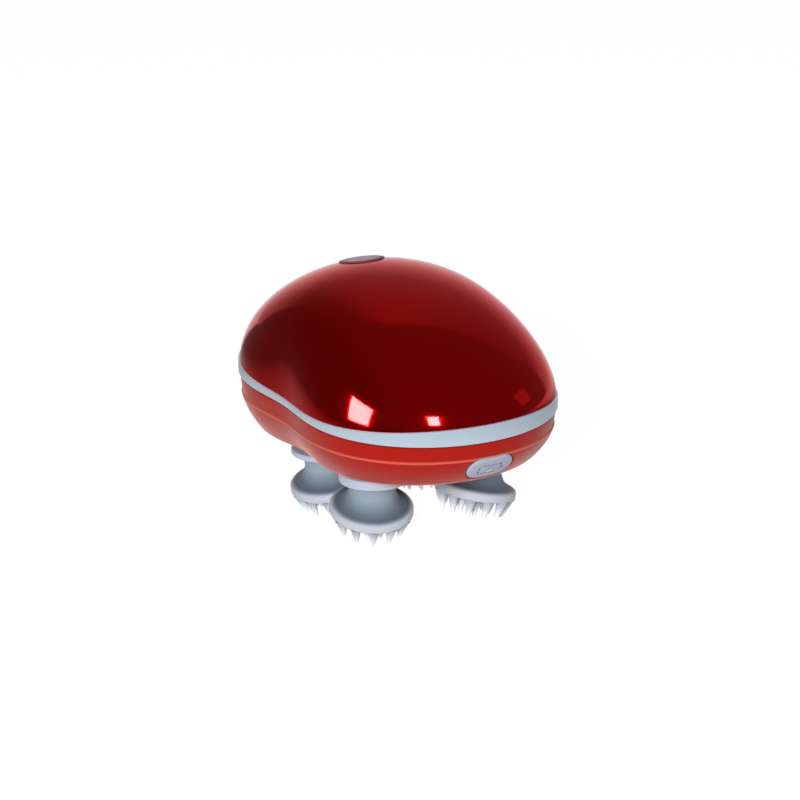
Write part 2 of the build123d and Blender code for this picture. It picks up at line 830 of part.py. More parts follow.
# One head in its own frame: rim on the plane z = 0, prongs below it, bell and neck above it
with BuildPart() as head_form:
    with BuildSketch(Plane.XZ):
        with BuildLine():
            front = Line((0, 0), (rim_radius - lip_radius, 0))
            lip = RadiusArc(front @ 1, (rim_radius, lip_radius), -lip_radius)
            band = Line(lip @ 1, (rim_radius, rim_band - lip_radius))
            shoulder = RadiusArc(band @ 1, (rim_radius - lip_radius, rim_band), -lip_radius)
            flare = ThreePointArc(
                shoulder @ 1, (rim_radius - 4.3, rim_band + 1.9), (bell_neck_radius, rim_band + 6)
            )
            neck = Polyline(flare @ 1, (bell_neck_radius, bell_height), (0, bell_height), (0, 0))
        make_face()
    revolve(axis=Axis.Z)
    for step in range(outer_prongs):
        loft(prong_ends(outer_ring, outer_tip_ring, prong_phase + step * 360 / outer_prongs))
    for step in range(inner_prongs):
        loft(prong_ends(inner_ring, inner_tip_ring, prong_phase + step * 360 / inner_prongs))
    loft(prong_ends(0, 0, 0))
    with BuildSketch(Plane.XY.offset(core_floor)):
        Circle(core_radius + core_flange)
    extrude(amount=core_flange - 0.1, mode=Mode.SUBTRACT)
    with BuildSketch(Plane.XY.offset(core_floor)):
        Circle(core_radius)
    extrude(amount=bell_height, mode=Mode.SUBTRACT)

for corner, signs in corners.items():
    x, y = corner_point(signs)
    direction = degrees(atan2(y - array_y, x))
    lean_way = Vector(1, 0, 0).rotate(Axis.Z, direction + lean_turn)
    tilt = radians(head_tilt)
    head_plane = Plane(
        origin=Vector(x, y, rim_z) - lean_way * rim_offset,
        x_dir=lean_way * cos(tilt) - Vector(0, 0, sin(tilt)),
        z_dir=lean_way * sin(tilt) + Vector(0, 0, cos(tilt)),
    )
    disc_top = pan_floor_z(y + turntable_radius) - turntable_gap
    shaft_foot = turntable_z + 1.0
    disc_slab = between(disc_top, disc_top + 30)

    with BuildPart() as massage_head:
        add(head_form.part.moved(head_plane.location))
        add(bell_slab, mode=Mode.SUBTRACT)
    finish(massage_head.part, f"massage_head_{corner}")

    with BuildPart() as head_core:
        with BuildSketch(head_plane.offset(core_floor)):
            Circle(core_radius + core_flange)
        extrude(amount=core_flange - 0.1)
        with BuildSketch(head_plane.offset(core_floor)):
            Circle(core_radius)
        extrude(amount=core_height)
        with BuildSketch(head_plane.offset(core_floor + 0.8)):
            Circle(stub_radius)
        extrude(amount=core_height, mode=Mode.SUBTRACT)
    finish(head_core.part, f"head_core_{corner}")

    with BuildPart() as turntable:
        with BuildSketch(Plane.XY.offset(turntable_z)):
            with Locations((x, y)):
                Circle(turntable_radius)
        extrude(amount=disc_top - turntable_z)
        fillet(turntable.edges(), 0.6)
        with BuildSketch(head_plane.offset(core_top)):
            Circle(core_radius)
        extrude(amount=8.5)
        with BuildSketch(head_plane.offset(core_floor + 1.0)):
            Circle(stub_radius)
        extrude(amount=core_height + 1)
        add(disc_slab, mode=Mode.SUBTRACT)
        with BuildSketch(Plane.XY.offset(disc_top)):
            with Locations((x, y)):
                Circle(neck_radius)
        extrude(amount=gear_floor_z - axial_gap - disc_top)
        with BuildSketch(Plane.XY.offset(shaft_foot)):
            with Locations((x, y)):
                Circle(shaft_radius)
        extrude(amount=20, mode=Mode.SUBTRACT)
    finish(turntable.part, f"turntable_{corner}")

    with BuildPart() as output_shaft:
        with BuildSketch(Plane.XY.offset(shaft_foot)):
            with Locations((x, y)):
                Circle(shaft_radius)
        extrude(amount=roof_top_z - shaft_foot)
    finish(output_shaft.part, f"output_shaft_{corner}")

    with BuildPart() as output_gear:
        with BuildSketch(Plane.XY.offset(output_z)):
            with Locations((x, y)):
                phase = meshing_phase(sun_teeth, sun_phase, output_teeth, direction)
                add(wheel(Plane.XY, head_module, output_teeth, phase, shaft_radius))
        extrude(amount=gear_face)
    finish(output_gear.part, f"output_gear_{corner}")
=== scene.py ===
from math import atan2, cos, exp, pi, radians, sin, sqrt, tan

import bmesh
import bpy
from mathutils import Matrix, Vector
from mathutils.bvhtree import BVHTree


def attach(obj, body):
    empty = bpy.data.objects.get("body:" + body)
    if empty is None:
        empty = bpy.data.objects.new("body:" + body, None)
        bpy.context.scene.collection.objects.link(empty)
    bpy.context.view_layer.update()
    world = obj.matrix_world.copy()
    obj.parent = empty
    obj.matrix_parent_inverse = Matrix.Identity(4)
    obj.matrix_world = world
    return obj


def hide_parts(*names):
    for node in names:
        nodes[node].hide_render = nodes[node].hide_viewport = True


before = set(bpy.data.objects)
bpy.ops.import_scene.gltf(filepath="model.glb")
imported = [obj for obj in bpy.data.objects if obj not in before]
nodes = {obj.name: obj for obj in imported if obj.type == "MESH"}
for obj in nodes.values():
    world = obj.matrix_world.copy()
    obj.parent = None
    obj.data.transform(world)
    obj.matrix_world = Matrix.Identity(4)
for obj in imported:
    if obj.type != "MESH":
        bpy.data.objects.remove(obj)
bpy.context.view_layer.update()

MM = 0.001

# ---------------------------------------------------------------- sizes, in millimetres
# Points, profiles and planes are in millimetres too. new_piece turns them into metres.

AROUND = 256  # points round the body

HALF_LENGTH = 62.6
HALF_WAIST = 40.8
NOSE_LEAD = 2.0
NOSE_TAPER = -0.4
FLANK_FULLNESS = -1.2
MEAN_RADIUS = (HALF_LENGTH + HALF_WAIST) / 2 - FLANK_FULLNESS
PINCH = (HALF_LENGTH - HALF_WAIST) / 2
BODY_Y = NOSE_LEAD + NOSE_TAPER
WALL = 2.2

BELT_Z = 43.1
BELT_NOSE_HEIGHT = 5.75
BELT_WAIST_HEIGHT = 2.5
BELT_TAIL_HEIGHT = 6.4
BELT_DEPTH = 3.4
BELT_EDGE = 0.35

CROWN_BASE_Z = BELT_Z + BELT_WAIST_HEIGHT
CROWN_RISE = 38.1
CROWN_SETBACK = 6.2
CROWN_STEP = 0.5
CROWN_FOOT = -3.5  # degrees of lift, hidden by the belt
CROWN_LEVELS = 72

PAN_DEPTH = 18.6
PAN_RAKE = 2.46  # degrees
PAN_STEP = 0.6
BELT_GAP = 0.5
LEDGE_DEPTH = 6.4
LEDGE_INSET = 1.35
LEDGE_EDGE = 0.4
BELOW_LEDGE_INSET = 0.95
BASE_DEPTH = PAN_DEPTH - WALL

# pairs of depth below the belt and inset from the outline
PAN_LIP = [(0, 1.9), (BELT_GAP, 1.7), (BELT_GAP, PAN_STEP), (LEDGE_DEPTH, LEDGE_INSET)]
INSETS = ((LEDGE_DEPTH, BELOW_LEDGE_INSET), (9.2, 2.0), (12.0, 3.5), (15.0, 5.7), (17.3, 8.0),
          (PAN_DEPTH, 11.0))
BASE_INSETS = (13, 16, 20, 26, 32)
PAN_BACK = ((BASE_DEPTH, 32), (BASE_DEPTH, 9.8), (12.0, 5.7), (LEDGE_DEPTH, 3.55), (0, 2.8))

CORNERS = {
    "front_left": (-1, -1),
    "front_right": (1, -1),
    "rear_right": (1, 1),
    "rear_left": (-1, 1),
}
ARRAY_Y = -6.3
HEADS_APART = 41.8
HEAD_ARM = 26.0
HEADS_APART_LENGTHWISE = 2 * sqrt(HEAD_ARM**2 - (HEADS_APART / 2) ** 2)
TURNTABLE_RADIUS = 11.4
TURNTABLE_INNER_RADIUS = 7.0
TURNTABLE_Z = 21.1
TURNTABLE_GAP = 0.5
TURNTABLE_EDGE = 0.6
NECK_RADIUS = 6.5
NECK_TOP = 28.3
SEAL_Z = 26.2
HEAD_TILT = 12.5
LEAN_TURN = 38.0
RIM_OFFSET = 2.6
RIM_RADIUS = 13.9
RIM_BAND = 3.5
BELL_NECK_RADIUS = 7.4
BELL_TOP = 15.0

PRONG_LENGTH = 6.9
PRONG_SINK = 0.3
PRONG_RADIUS = 1.75
PRONG_TIP_RADIUS = 0.35
PRONG_TAPER = 1.3
PRONG_FOOT = 0.4
PRONG_PHASE = 19.3
PRONG_RINGS = ((12, 11.7, 10.2), (8, 6.6, 6.1), (1, 0.0, 0.0))  # count, root radius, tip radius

BUTTON_LIFT = 74.9  # degrees
BUTTON_RADIUS = 6.4
BUTTON_STAND = 0.35
BUTTON_GAP = 0.2
BUTTON_THICKNESS = 2.4
BUTTON_SKIRT = 0.9
FLANGE_TOP = -3.6
FLANGE_LOW = -4.4
STEM_RADIUS = 2.1
STEM_LOW = -5.2
BEZEL_WIDTH = 1.1
BEZEL_STAND = 0.05
BEZEL_DEPTH = 2.8
BEZEL_RADIUS = BUTTON_RADIUS + BUTTON_GAP + BEZEL_WIDTH
SEAT_DEPTH = 4.5

PORT_DEPTH = 11.9
FLAP_WIDTH = 16.8
FLAP_HEIGHT = 9.3
FLAP_THICKNESS = 2.0
FLAP_STAND = 0.3
FLAP_GAP = 0.35
FLAP_EDGE = 0.7
FLAP_BACK_EDGE = 0.2
POCKET_EDGE = 0.5
PORT_FLOOR = -FLAP_THICKNESS - 0.05
SOCKET_MOUTH = (9.6, 5.2, 1.2)  # width, height, corner radius
SOCKET_HOLE = (8.2, 3.4, 0.8)
SOCKET_FACE = -4.6
SOCKET_REACH = 3.5

SIGN_BODY = (8.2, 3.6, 0.7)
SIGN_SHIFT = -0.4
SIGN_CAP = [(4.35, 0.75), (4.35, -0.75)]
SIGN_BOLT = [(0.35, 1.15), (-1.15, -0.1), (0.35, 0.1), (-1.15, -1.15)]
SIGN_REACH = (5.6, 3.45)
GROOVE_RADIUS = 0.27
BOLT_GROOVE_RADIUS = 0.2

HOLE_EDGE = 0.3
NECK_HOLE = NECK_RADIUS + 0.5
NECK_MOUTH = NECK_RADIUS + 0.8
SHELL_SCREWS = ((17, -44.5), (-17, -44.5), (18, 41), (-18, 41))
SCREW_SEAT_Z = 31.6
SCREW_HEAD = 2.5
SCREW_HEAD_HEIGHT = 1.6
SCREW_RADIUS = 1.3
SCREW_HOLE = SCREW_HEAD + 0.3
SCREW_MOUTH = SCREW_HEAD + 0.6
RECESS_LENGTH = 1.5
RECESS_WIDTH = 0.28
RECESS_DEPTH = 0.9
RECESS_TURN = 0.35  # radians

# ---------------------------------------------------------------- colours

CROWN_RED = (0.34, 0.0004, 0.0004)
SATIN_RED = (0.29, 0.006, 0.003)
# painted highlight: paler red along the pan's ledge, where its edge would catch the light
LEDGE_HIGHLIGHT_RED = (0.52, 0.09, 0.06)
BELT_SILVER = (0.42, 0.50, 0.58)
BUTTON_MAUVE = (0.42, 0.19, 0.25)
BEZEL_DARK = (0.09, 0.04, 0.05)
DISC_GREY = (0.34, 0.37, 0.45)
FLAP_GREY = (0.29, 0.32, 0.40)
# painted shade at the bottom of the sign's grooves
GROOVE_SHADE_GREY = (0.07, 0.075, 0.10)
# silicone colours for painted light and shade: dark for painted shade in the flare, pale for
# painted light on rim band and prong tips
SILICONE_PAINTED_LIGHT = (
    (0.0, (0.08, 0.105, 0.135)),
    (0.35, (0.19, 0.235, 0.28)),
    (0.6, (0.40, 0.42, 0.47)),
    (1.0, (0.84, 0.85, 0.86)),
)

# ---------------------------------------------------------------- room, in metres and degrees

AZIMUTH = -31.6
ELEVATION = 18.9
TARGET = Vector((0, 0.0016, 0.0399))
DISTANCE = 1.0
AWAY = Vector((-sin(radians(AZIMUTH)), cos(radians(AZIMUTH)), 0))
RIGHT = Vector((cos(radians(AZIMUTH)), sin(radians(AZIMUTH)), 0))

FLOOR_SIZE = 3  # half its side
FLOOR_PAPER = 0.12
FLOOR_GLOW = 0.96
FLOOR_NEAR = 0.85
FLOOR_FAR = 0.2

WALL_LOW = 1.3
WALL_HIGH = 0.68
ROOM_LEFT = 0.24
ROOM_RIGHT = 0.4
SOFT_FILL = 0.12


# ---------------------------------------------------------------- shape of the body


def lobes(angle):
    """How far the outline leaves a plain circle, at an angle from the nose."""
    bias = NOSE_LEAD * cos(angle) + NOSE_TAPER * cos(3 * angle)
    return bias + PINCH * cos(2 * angle) + FLANK_FULLNESS * cos(4 * angle)


def outline(angle, inset=0.0):
    """A point (x, y) of the body's outline, inset by so much."""
    radius = MEAN_RADIUS + lobes(angle) - inset
    return radius * sin(angle), BODY_Y - radius * cos(angle)


def crown_point(angle, lift, inset=0.0):
    """A point of the crown, lift degrees up from its base."""
    size = cos(radians(lift))
    radius = size * (MEAN_RADIUS + size**3 * lobes(angle)) - (CROWN_STEP + inset) * size
    y = BODY_Y + CROWN_SETBACK * (1 - size) - radius * cos(angle)
    z = CROWN_BASE_Z + (CROWN_RISE - inset) * sin(radians(lift))
    return Vector((radius * sin(angle), y, z))


def belt_top(y):
    """Height of the belt's upper edge, an arc seen from the side."""
    nose, waist, tail = BELT_NOSE_HEIGHT, BELT_WAIST_HEIGHT, BELT_TAIL_HEIGHT
    middle = (nose + tail) / 2 - waist
    slope = (tail - nose) / 2
    share = y / HALF_LENGTH
    return BELT_Z + waist + slope * share + middle * share**2


def pan_point(angle, depth, inset):
    """A point of the pan on the raked plane that lies depth below the belt."""
    x, y = outline(angle, inset)
    rake = radians(PAN_RAKE * max(depth, 0) / PAN_DEPTH)
    return Vector((x, y * cos(rake), BELT_Z - depth - y * sin(rake)))


# ---------------------------------------------------------------- mesh helpers


def new_piece(name, points, faces):
    """A smooth mesh object from points in millimetres."""
    mesh = bpy.data.meshes.new(name)
    mesh.from_pydata([Vector(p) * MM for p in points], [], faces)
    mesh.update()
    for polygon in mesh.polygons:
        polygon.use_smooth = True
    piece = bpy.data.objects.new(name, mesh)
    bpy.context.scene.collection.objects.link(piece)
    return piece


def rings(loops, close_start=False, close_end=False, start=0):
    """Faces between closed loops of points that have the same count."""
    count = len(loops[0])
    points = [p for loop in loops for p in loop]
    faces = []
    for level in range(len(loops) - 1):
        low, high = start + level * count, start + (level + 1) * count
        for step in range(count):
            after = (step + 1) % count
            faces.append((low + step, low + after, high + after, high + step))
    if close_start:
        faces.append(tuple(start + step for step in reversed(range(count))))
    if close_end:
        last = start + (len(loops) - 1) * count
        faces.append(tuple(last + step for step in range(count)))
    return points, faces


def loop_back(loops):
    """Faces from the last of the rings' loops back to the first."""
    count = len(loops[0])
    last = (len(loops) - 1) * count
    return [(last + s, last + (s + 1) % count, (s + 1) % count, s) for s in range(count)]


def rounded(profile, radii, steps=6):
    """A polyline with its corners rounded; radii has one value for each point."""
    result = []
    for index, point in enumerate(profile):
        radius = radii[index]
        if radius <= 0 or index in (0, len(profile) - 1):
            result.append(tuple(point))
            continue
        here = Vector(point)
        before = Vector(profile[index - 1]) - here
        after = Vector(profile[index + 1]) - here
        angle = before.angle(after)
        reach = min(radius / tan(angle / 2), before.length * 0.49, after.length * 0.49)
        true_radius = reach * tan(angle / 2)
        bisector = (before.normalized() + after.normalized()).normalized()
        centre = here + bisector * (true_radius / sin(angle / 2))
        first = here + before.normalized() * reach - centre
        last = here + after.normalized() * reach - centre
        sweep = first.angle(last)
        for step in range(steps + 1):
            share = step / steps
            arc = first * (sin((1 - share) * sweep) / sin(sweep))
            arc += last * (sin(share * sweep) / sin(sweep))
            result.append(tuple(centre + arc))
    return result


def lathe(name, profile, place, segments=96, close_start=True, close_end=True):
    """A turned piece: profile of (radius, height) about the Z axis of a place."""
    loops = []
    for radius, height in profile:
        loop = []
        for step in range(segments):
            angle = 2 * pi * step / segments
            loop.append(place @ Vector((radius * cos(angle), radius * sin(angle), height)))
        loops.append(loop)
    points, faces = rings(loops, close_start, close_end)
    return new_piece(name, points, faces)


def store(piece, name, values):
    """Keep a value at each of a mesh's points, for its material to read."""
    piece.data.attributes.new(name, "FLOAT", "POINT").data.foreach_set("value", values)


def sharpen(piece, angle=40.0):
    """Smooth shading that keeps edges sharper than an angle."""
    piece.data.set_sharp_from_angle(angle=radians(angle))


def outward(piece):
    """Turn a closed piece's faces outward."""
    turned = bmesh.new()
    turned.from_mesh(piece.data)
    bmesh.ops.recalc_face_normals(turned, faces=turned.faces)
    turned.to_mesh(piece.data)
    turned.free()


def join(name, pieces):
    """One object from several."""
    target = bmesh.new()
    for piece in pieces:
        target.from_mesh(piece.data)
    mesh = bpy.data.meshes.new(name)
    target.to_mesh(mesh)
    target.free()
    for piece in pieces:
        bpy.data.objects.remove(piece)
    joined = bpy.data.objects.new(name, mesh)
    bpy.context.scene.collection.objects.link(joined)
    return joined


def cut(piece, cutters):
    """Take cutters away from a piece and delete them."""
    for cutter in cutters:
        modifier = piece.modifiers.new("cut", "BOOLEAN")
        modifier.object = cutter
        modifier.operation = "DIFFERENCE"
        modifier.solver = "EXACT"
    bpy.context.view_layer.update()
    graph = bpy.context.evaluated_depsgraph_get()
    mesh = bpy.data.meshes.new_from_object(piece.evaluated_get(graph))
    piece.modifiers.clear()
    piece.data = mesh
    for cutter in cutters:
        bpy.data.objects.remove(cutter)


# ---------------------------------------------------------------- shader nodes


def node(tree, kind, inputs, **settings):
    """A shader node; each input, by name or number, is a value or another node's output."""
    made = tree.nodes.new("ShaderNode" + kind)
    for name, value in settings.items():
        setattr(made, name, value)
    for key, value in inputs.items():
        if isinstance(value, bpy.types.NodeSocket):
            tree.links.new(value, made.inputs[key])
        else:
            made.inputs[key].default_value = value
    return made


def compute(tree, operation, *values):
    """The result of a maths node."""
    return node(tree, "Math", dict(enumerate(values)), operation=operation).outputs["Value"]


def along(tree, place, direction):
    """How far a vector reaches along a direction."""
    inputs = {0: place, 1: direction}
    return node(tree, "VectorMath", inputs, operation="DOT_PRODUCT").outputs["Value"]


def ramp(tree, value, low, high, start=0.0, end=1.0):
    """A smooth step from start, where the value is low, to end, where it is high."""
    inputs = {"Value": value, "From Min": low, "From Max": high, "To Min": start, "To Max": end}
    return node(tree, "MapRange", inputs, interpolation_type="SMOOTHSTEP").outputs["Result"]


def object_place(tree):
    return node(tree, "TexCoord", {}).outputs["Object"]


def feed(made, socket, value):
    """Link a material's shader to another node's output."""
    made.node_tree.links.new(value, made.node_tree.nodes["Principled BSDF"].inputs[socket])


# ---------------------------------------------------------------- materials


def material(name, colour, roughness=0.5, metallic=0.0, **sockets):
    """A Principled material; further sockets are set by name."""
    made = bpy.data.materials.new(name)
    made.use_nodes = True
    shader = made.node_tree.nodes["Principled BSDF"]
    shader.inputs["Base Color"].default_value = (*colour, 1)
    shader.inputs["Roughness"].default_value = roughness
    shader.inputs["Metallic"].default_value = metallic
    for socket, value in sockets.items():
        shader.inputs[socket.replace("_", " ")].default_value = value
    return made


def grain(made, scale, strength):
    """Fine bump from noise, at a scale in metres."""
    tree = made.node_tree
    inputs = {"Vector": object_place(tree), "Scale": 1 / scale, "Detail": 4}
    speckle = node(tree, "TexNoise", inputs).outputs["Fac"]
    inputs = {"Height": speckle, "Strength": strength, "Distance": 0.0001}
    feed(made, "Normal", node(tree, "Bump", inputs).outputs["Normal"])
    return made


def mottle(made, scale, low, high):
    """Slow variation of the roughness between two values."""
    tree = made.node_tree
    inputs = {"Vector": object_place(tree), "Scale": 1 / scale, "Detail": 5}
    cloud = node(tree, "TexNoise", inputs).outputs["Fac"]
    inputs = {"Value": cloud, "From Min": 0.3, "From Max": 0.7, "To Min": low, "To Max": high}
    feed(made, "Roughness", node(tree, "MapRange", inputs).outputs["Result"])
    return made


def two_colours(made, share, first, second):
    """The base colour goes from the first to the second as a share goes from 0 to 1."""
    inputs = {"Factor": share, "A": (*first, 1), "B": (*second, 1)}
    mix = node(made.node_tree, "Mix", inputs, data_type="RGBA")
    feed(made, "Base Color", mix.outputs["Result"])


def stored(tree, name):
    """A value that the mesh stores at its points."""
    return node(tree, "Attribute", {}, attribute_name=name).outputs["Fac"]


def red_gloss():
    made = material("red_gloss", CROWN_RED, 0.06, 0.95, Specular_IOR_Level=0.1,
                    Specular_Tint=(1.0, 0.66, 0.66, 1.0), Coat_Weight=0.05, Coat_Roughness=0.02)
    return mottle(made, 0.03, 0.05, 0.07)


def red_satin():
    """Satin red, with a painted highlight: a paler line along the ledge's thin edge."""
    made = material("red_satin", SATIN_RED, 0.36, 0.0, Specular_IOR_Level=0.2,
                    Specular_Tint=(1.0, 0.72, 0.6, 1.0), Sheen_Weight=0.3, Sheen_Roughness=0.35,
                    Sheen_Tint=(1.0, 0.5, 0.38, 1.0))
    tree = made.node_tree
    # mask of the painted highlight: a band within 0.6 mm of the ledge's line
    slope = sin(radians(PAN_RAKE * LEDGE_DEPTH / PAN_DEPTH))
    height = along(tree, object_place(tree), (0, slope / MM, 1 / MM))
    from_line = compute(tree, "SUBTRACT", height, BELT_Z - LEDGE_DEPTH - 0.12)
    share = ramp(tree, compute(tree, "ABSOLUTE", from_line), 0.1, 0.6, 1.0, 0.0)
    two_colours(made, share, SATIN_RED, LEDGE_HIGHLIGHT_RED)
    return grain(made, 0.0006, 0.05)


def silver_trim():
    made = material("silver_trim", BELT_SILVER, 0.3, 0.35, Specular_IOR_Level=0.4)
    return grain(made, 0.0003, 0.04)


def button_red():
    made = material("button_red", BUTTON_MAUVE, 0.4, 0.0, Specular_IOR_Level=0.5)
    return mottle(made, 0.004, 0.36, 0.44)


def dark_trim():
    made = material("dark_trim", BEZEL_DARK, 0.4, 0.0, Specular_IOR_Level=0.2)
    return mottle(made, 0.003, 0.35, 0.45)


def grey_silicone():
    """Silicone with painted light and shade in its colour, by the value pale that each head stores.
    """
    made = material("grey_silicone", (0.22, 0.26, 0.30), 0.5, 0.0, Specular_IOR_Level=0.2,
                    Subsurface_Weight=0.2, Subsurface_Scale=0.002)
    tree = made.node_tree
    shades = node(tree, "ValToRGB", {"Fac": stored(tree, "pale")})
    stops = shades.color_ramp.elements
    for stop, (_, colour) in zip(stops, (SILICONE_PAINTED_LIGHT[0], SILICONE_PAINTED_LIGHT[-1])):
        stop.color = (*colour, 1)
    for position, colour in SILICONE_PAINTED_LIGHT[1:-1]:
        stops.new(position).color = (*colour, 1)
    feed(made, "Base Color", shades.outputs["Color"])
    return grain(made, 0.0004, 0.05)


def pale_plastic():
    made = material("pale_plastic", DISC_GREY, 0.3)
    return grain(made, 0.0005, 0.04)


def flap_rubber():
    """Pale grey, with painted shade at the bottom of the sign's grooves."""
    made = material("flap_rubber", FLAP_GREY, 0.5, 0.0, Specular_IOR_Level=0.3)
    two_colours(made, stored(made.node_tree, "painted_groove_shade"), FLAP_GREY, GROOVE_SHADE_GREY)
    return grain(made, 0.0003, 0.05)


def plain_inside(name, colour, roughness, metallic=0.0):
    """An inner piece: its colour with light variation and grain."""
    made = material(name, colour, roughness, metallic)
    mottle(made, 0.004, roughness * 0.85, roughness * 1.15)
    return grain(made, 0.0005, 0.06)


slot_materials = {
    "red_gloss": red_gloss(),
    "red_satin": red_satin(),
    "silver_trim": silver_trim(),
    "button_red": button_red(),
    "dark_trim": dark_trim(),
    "grey_silicone": grey_silicone(),
    "pale_plastic": pale_plastic(),
    "flap_rubber": flap_rubber(),
    "acetal_white": plain_inside("acetal_white", (0.78, 0.77, 0.72), 0.35),
    "nylon_grey": plain_inside("nylon_grey", (0.16, 0.17, 0.18), 0.5),
    "steel": plain_inside("steel", (0.55, 0.56, 0.57), 0.28, 1.0),
    "sinter_bronze": plain_inside("sinter_bronze", (0.42, 0.27, 0.14), 0.45, 1.0),
    "black_rubber": plain_inside("black_rubber", (0.02, 0.02, 0.022), 0.6),
    "board_green": plain_inside("board_green", (0.02, 0.16, 0.06), 0.4),
    "cell_wrap": plain_inside("cell_wrap", (0.05, 0.16, 0.35), 0.35),
    "switch_black": plain_inside("switch_black", (0.015, 0.015, 0.017), 0.4),
}


def dress(piece, slot_name):
    """Give a new piece a slot's finish."""
    piece.data.materials.clear()
    piece.data.materials.append(slot_materials[slot_name])


def dress_cad_nodes():
    """Every CAD node takes the finish of the slot that the record gives it."""
    for name, cad_node in nodes.items():
        for slot_index, old in enumerate(cad_node.data.materials):
            base = old.name.split(".")[0] if old else ""
            if base in slot_materials:
                cad_node.data.materials[slot_index] = slot_materials[base]
            else:
                print("no finish for", name, base)


dress_cad_nodes()


# ---------------------------------------------------------------- planes of button and port


def plane_matrix(origin, normal, x_axis):
    """The place of a plane, in millimetres."""
    z_axis = Vector(normal).normalized()
    y_axis = z_axis.cross(Vector(x_axis)).normalized()
    x_axis = y_axis.cross(z_axis)
    turn = Matrix((x_axis, y_axis, z_axis)).transposed().to_4x4()
    return Matrix.Translation(Vector(origin)) @ turn


def inset_at(depth):
    """The pan's inset between its rings, on straight lines."""
    for (upper, start), (lower, end) in zip(INSETS, INSETS[1:]):
        if upper <= depth <= lower:
            return start + (end - start) * (depth - upper) / (lower - upper)
    return 0.0


def nose_point(depth):
    """A point of the pan's nose line."""
    y = BODY_Y - MEAN_RADIUS - lobes(0) + inset_at(depth)
    return Vector((0, y, BELT_Z - depth - tan(radians(PAN_RAKE * depth / PAN_DEPTH)) * y))


X_AXIS = Vector((1, 0, 0))
RIDGE_SLOPE = crown_point(pi, BUTTON_LIFT + 0.5) - crown_point(pi, BUTTON_LIFT - 0.5)
BUTTON_PLANE = plane_matrix(crown_point(pi, BUTTON_LIFT), RIDGE_SLOPE.cross(X_AXIS), X_AXIS)
NOSE_UP = nose_point(PORT_DEPTH - FLAP_HEIGHT / 3) - nose_point(PORT_DEPTH + FLAP_HEIGHT / 3)
PORT_PLANE = plane_matrix(nose_point(PORT_DEPTH), X_AXIS.cross(NOSE_UP), X_AXIS)


# ---------------------------------------------------------------- crown


def crown():
    """The glossy upper shell, with the round seat of the button."""
    outer, inner = [], []
    for level in range(CROWN_LEVELS):
        lift = CROWN_FOOT + (90 - CROWN_FOOT) * level / CROWN_LEVELS
        outer.append([crown_point(2 * pi * s / AROUND, lift) for s in range(AROUND)])
        inner.append([crown_point(2 * pi * s / AROUND, lift, WALL) for s in range(AROUND)])
    points, faces = rings(outer)
    pole = len(points)
    points.append(crown_point(0, 90))
    last = (CROWN_LEVELS - 1) * AROUND
    for step in range(AROUND):
        faces.append((last + step, last + (step + 1) % AROUND, pole))
    under, under_faces = rings(inner, start=len(points))
    inner_start = len(points)
    points += under
    faces += [tuple(reversed(face)) for face in under_faces]
    inner_pole = len(points)
    points.append(crown_point(0, 90, WALL))
    for step in range(AROUND):
        after = (step + 1) % AROUND
        faces.append((inner_pole, inner_start + last + after, inner_start + last + step))
        faces.append((step, inner_start + step, inner_start + after, after))
    piece = new_piece("crown", points, faces)
    seat = [(BEZEL_RADIUS, -SEAT_DEPTH), (BEZEL_RADIUS, 5)]
    cut(piece, [lathe("button_seat", seat, BUTTON_PLANE, 128)])
    sharpen(piece)
    return piece


crown_shell = crown()
dress(crown_shell, "red_gloss")
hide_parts("upper_shell")
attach(crown_shell, "housing")


# ---------------------------------------------------------------- belt


def belt():
    """The pale band between the shells, taller at nose and tail."""
    loops = []
    for step in range(AROUND):
        angle = 2 * pi * step / AROUND
        y = outline(angle)[1]
        top = belt_top(y)
        corners = [(BELT_DEPTH, BELT_Z), (0, BELT_Z), (0, top), (BELT_DEPTH, top)]
        section = rounded(corners, [0, BELT_EDGE, BELT_EDGE, 0])
        loop = []
        for inset, z in section:
            x, y = outline(angle, inset)
            loop.append(Vector((x, y, z)))
        loops.append(loop)
    points, faces = rings(loops)
    piece = new_piece("belt", points, faces + loop_back(loops))
    sharpen(piece, 60)
    return piece


belt_band = belt()
dress(belt_band, "silver_trim")
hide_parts("belt_ring")
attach(belt_band, "housing")


# ---------------------------------------------------------------- pan


def smooth_curve(points, steps):
    """A Catmull-Rom curve through points of any size."""
    vectors = [Vector(p) for p in points]
    first = vectors[0] * 2 - vectors[1]
    last = vectors[-1] * 2 - vectors[-2]
    held = [first] + vectors + [last]
    result = []
    for index in range(1, len(held) - 2):
        a, b, c, d = held[index - 1:index + 3]
        for step in range(steps):
            t = step / steps
            square, cube = 2 * a - 5 * b + 4 * c - d, 3 * b - a - 3 * c + d
            result.append(0.5 * (2 * b + (c - a) * t + square * t**2 + cube * t**3))
    result.append(vectors[-1])
    return [tuple(v) for v in result]


def pan():
    """The satin lower shell: a rounded step under the belt and a raked flat base."""
    ledge = rounded([PAN_LIP[3], INSETS[0], INSETS[1]], [0, LEDGE_EDGE, 0])
    section = rounded(PAN_LIP, [0, 0, 0.25, 0]) + ledge[1:-1] + smooth_curve(INSETS, 8)[3:]
    section += [(PAN_DEPTH, inset) for inset in BASE_INSETS]
    loops = [[pan_point(2 * pi * s / AROUND, depth, inset) for s in range(AROUND)]
             for depth, inset in (*section, *PAN_BACK)]
    points, faces = rings(loops)
    faces = [tuple(reversed(face)) for face in faces + loop_back(loops)]
    base = (len(section) - 1) * AROUND
    middle = tuple(range(base, base + AROUND))
    faces = [face for face in faces if not all(base <= index < base + 2 * AROUND for index in face)]
    faces.append(middle)
    faces.append(tuple(reversed([index + AROUND for index in middle])))
    return points, faces


pan_points, pan_faces = pan()
pan_surface = BVHTree.FromPolygons(pan_points, pan_faces)


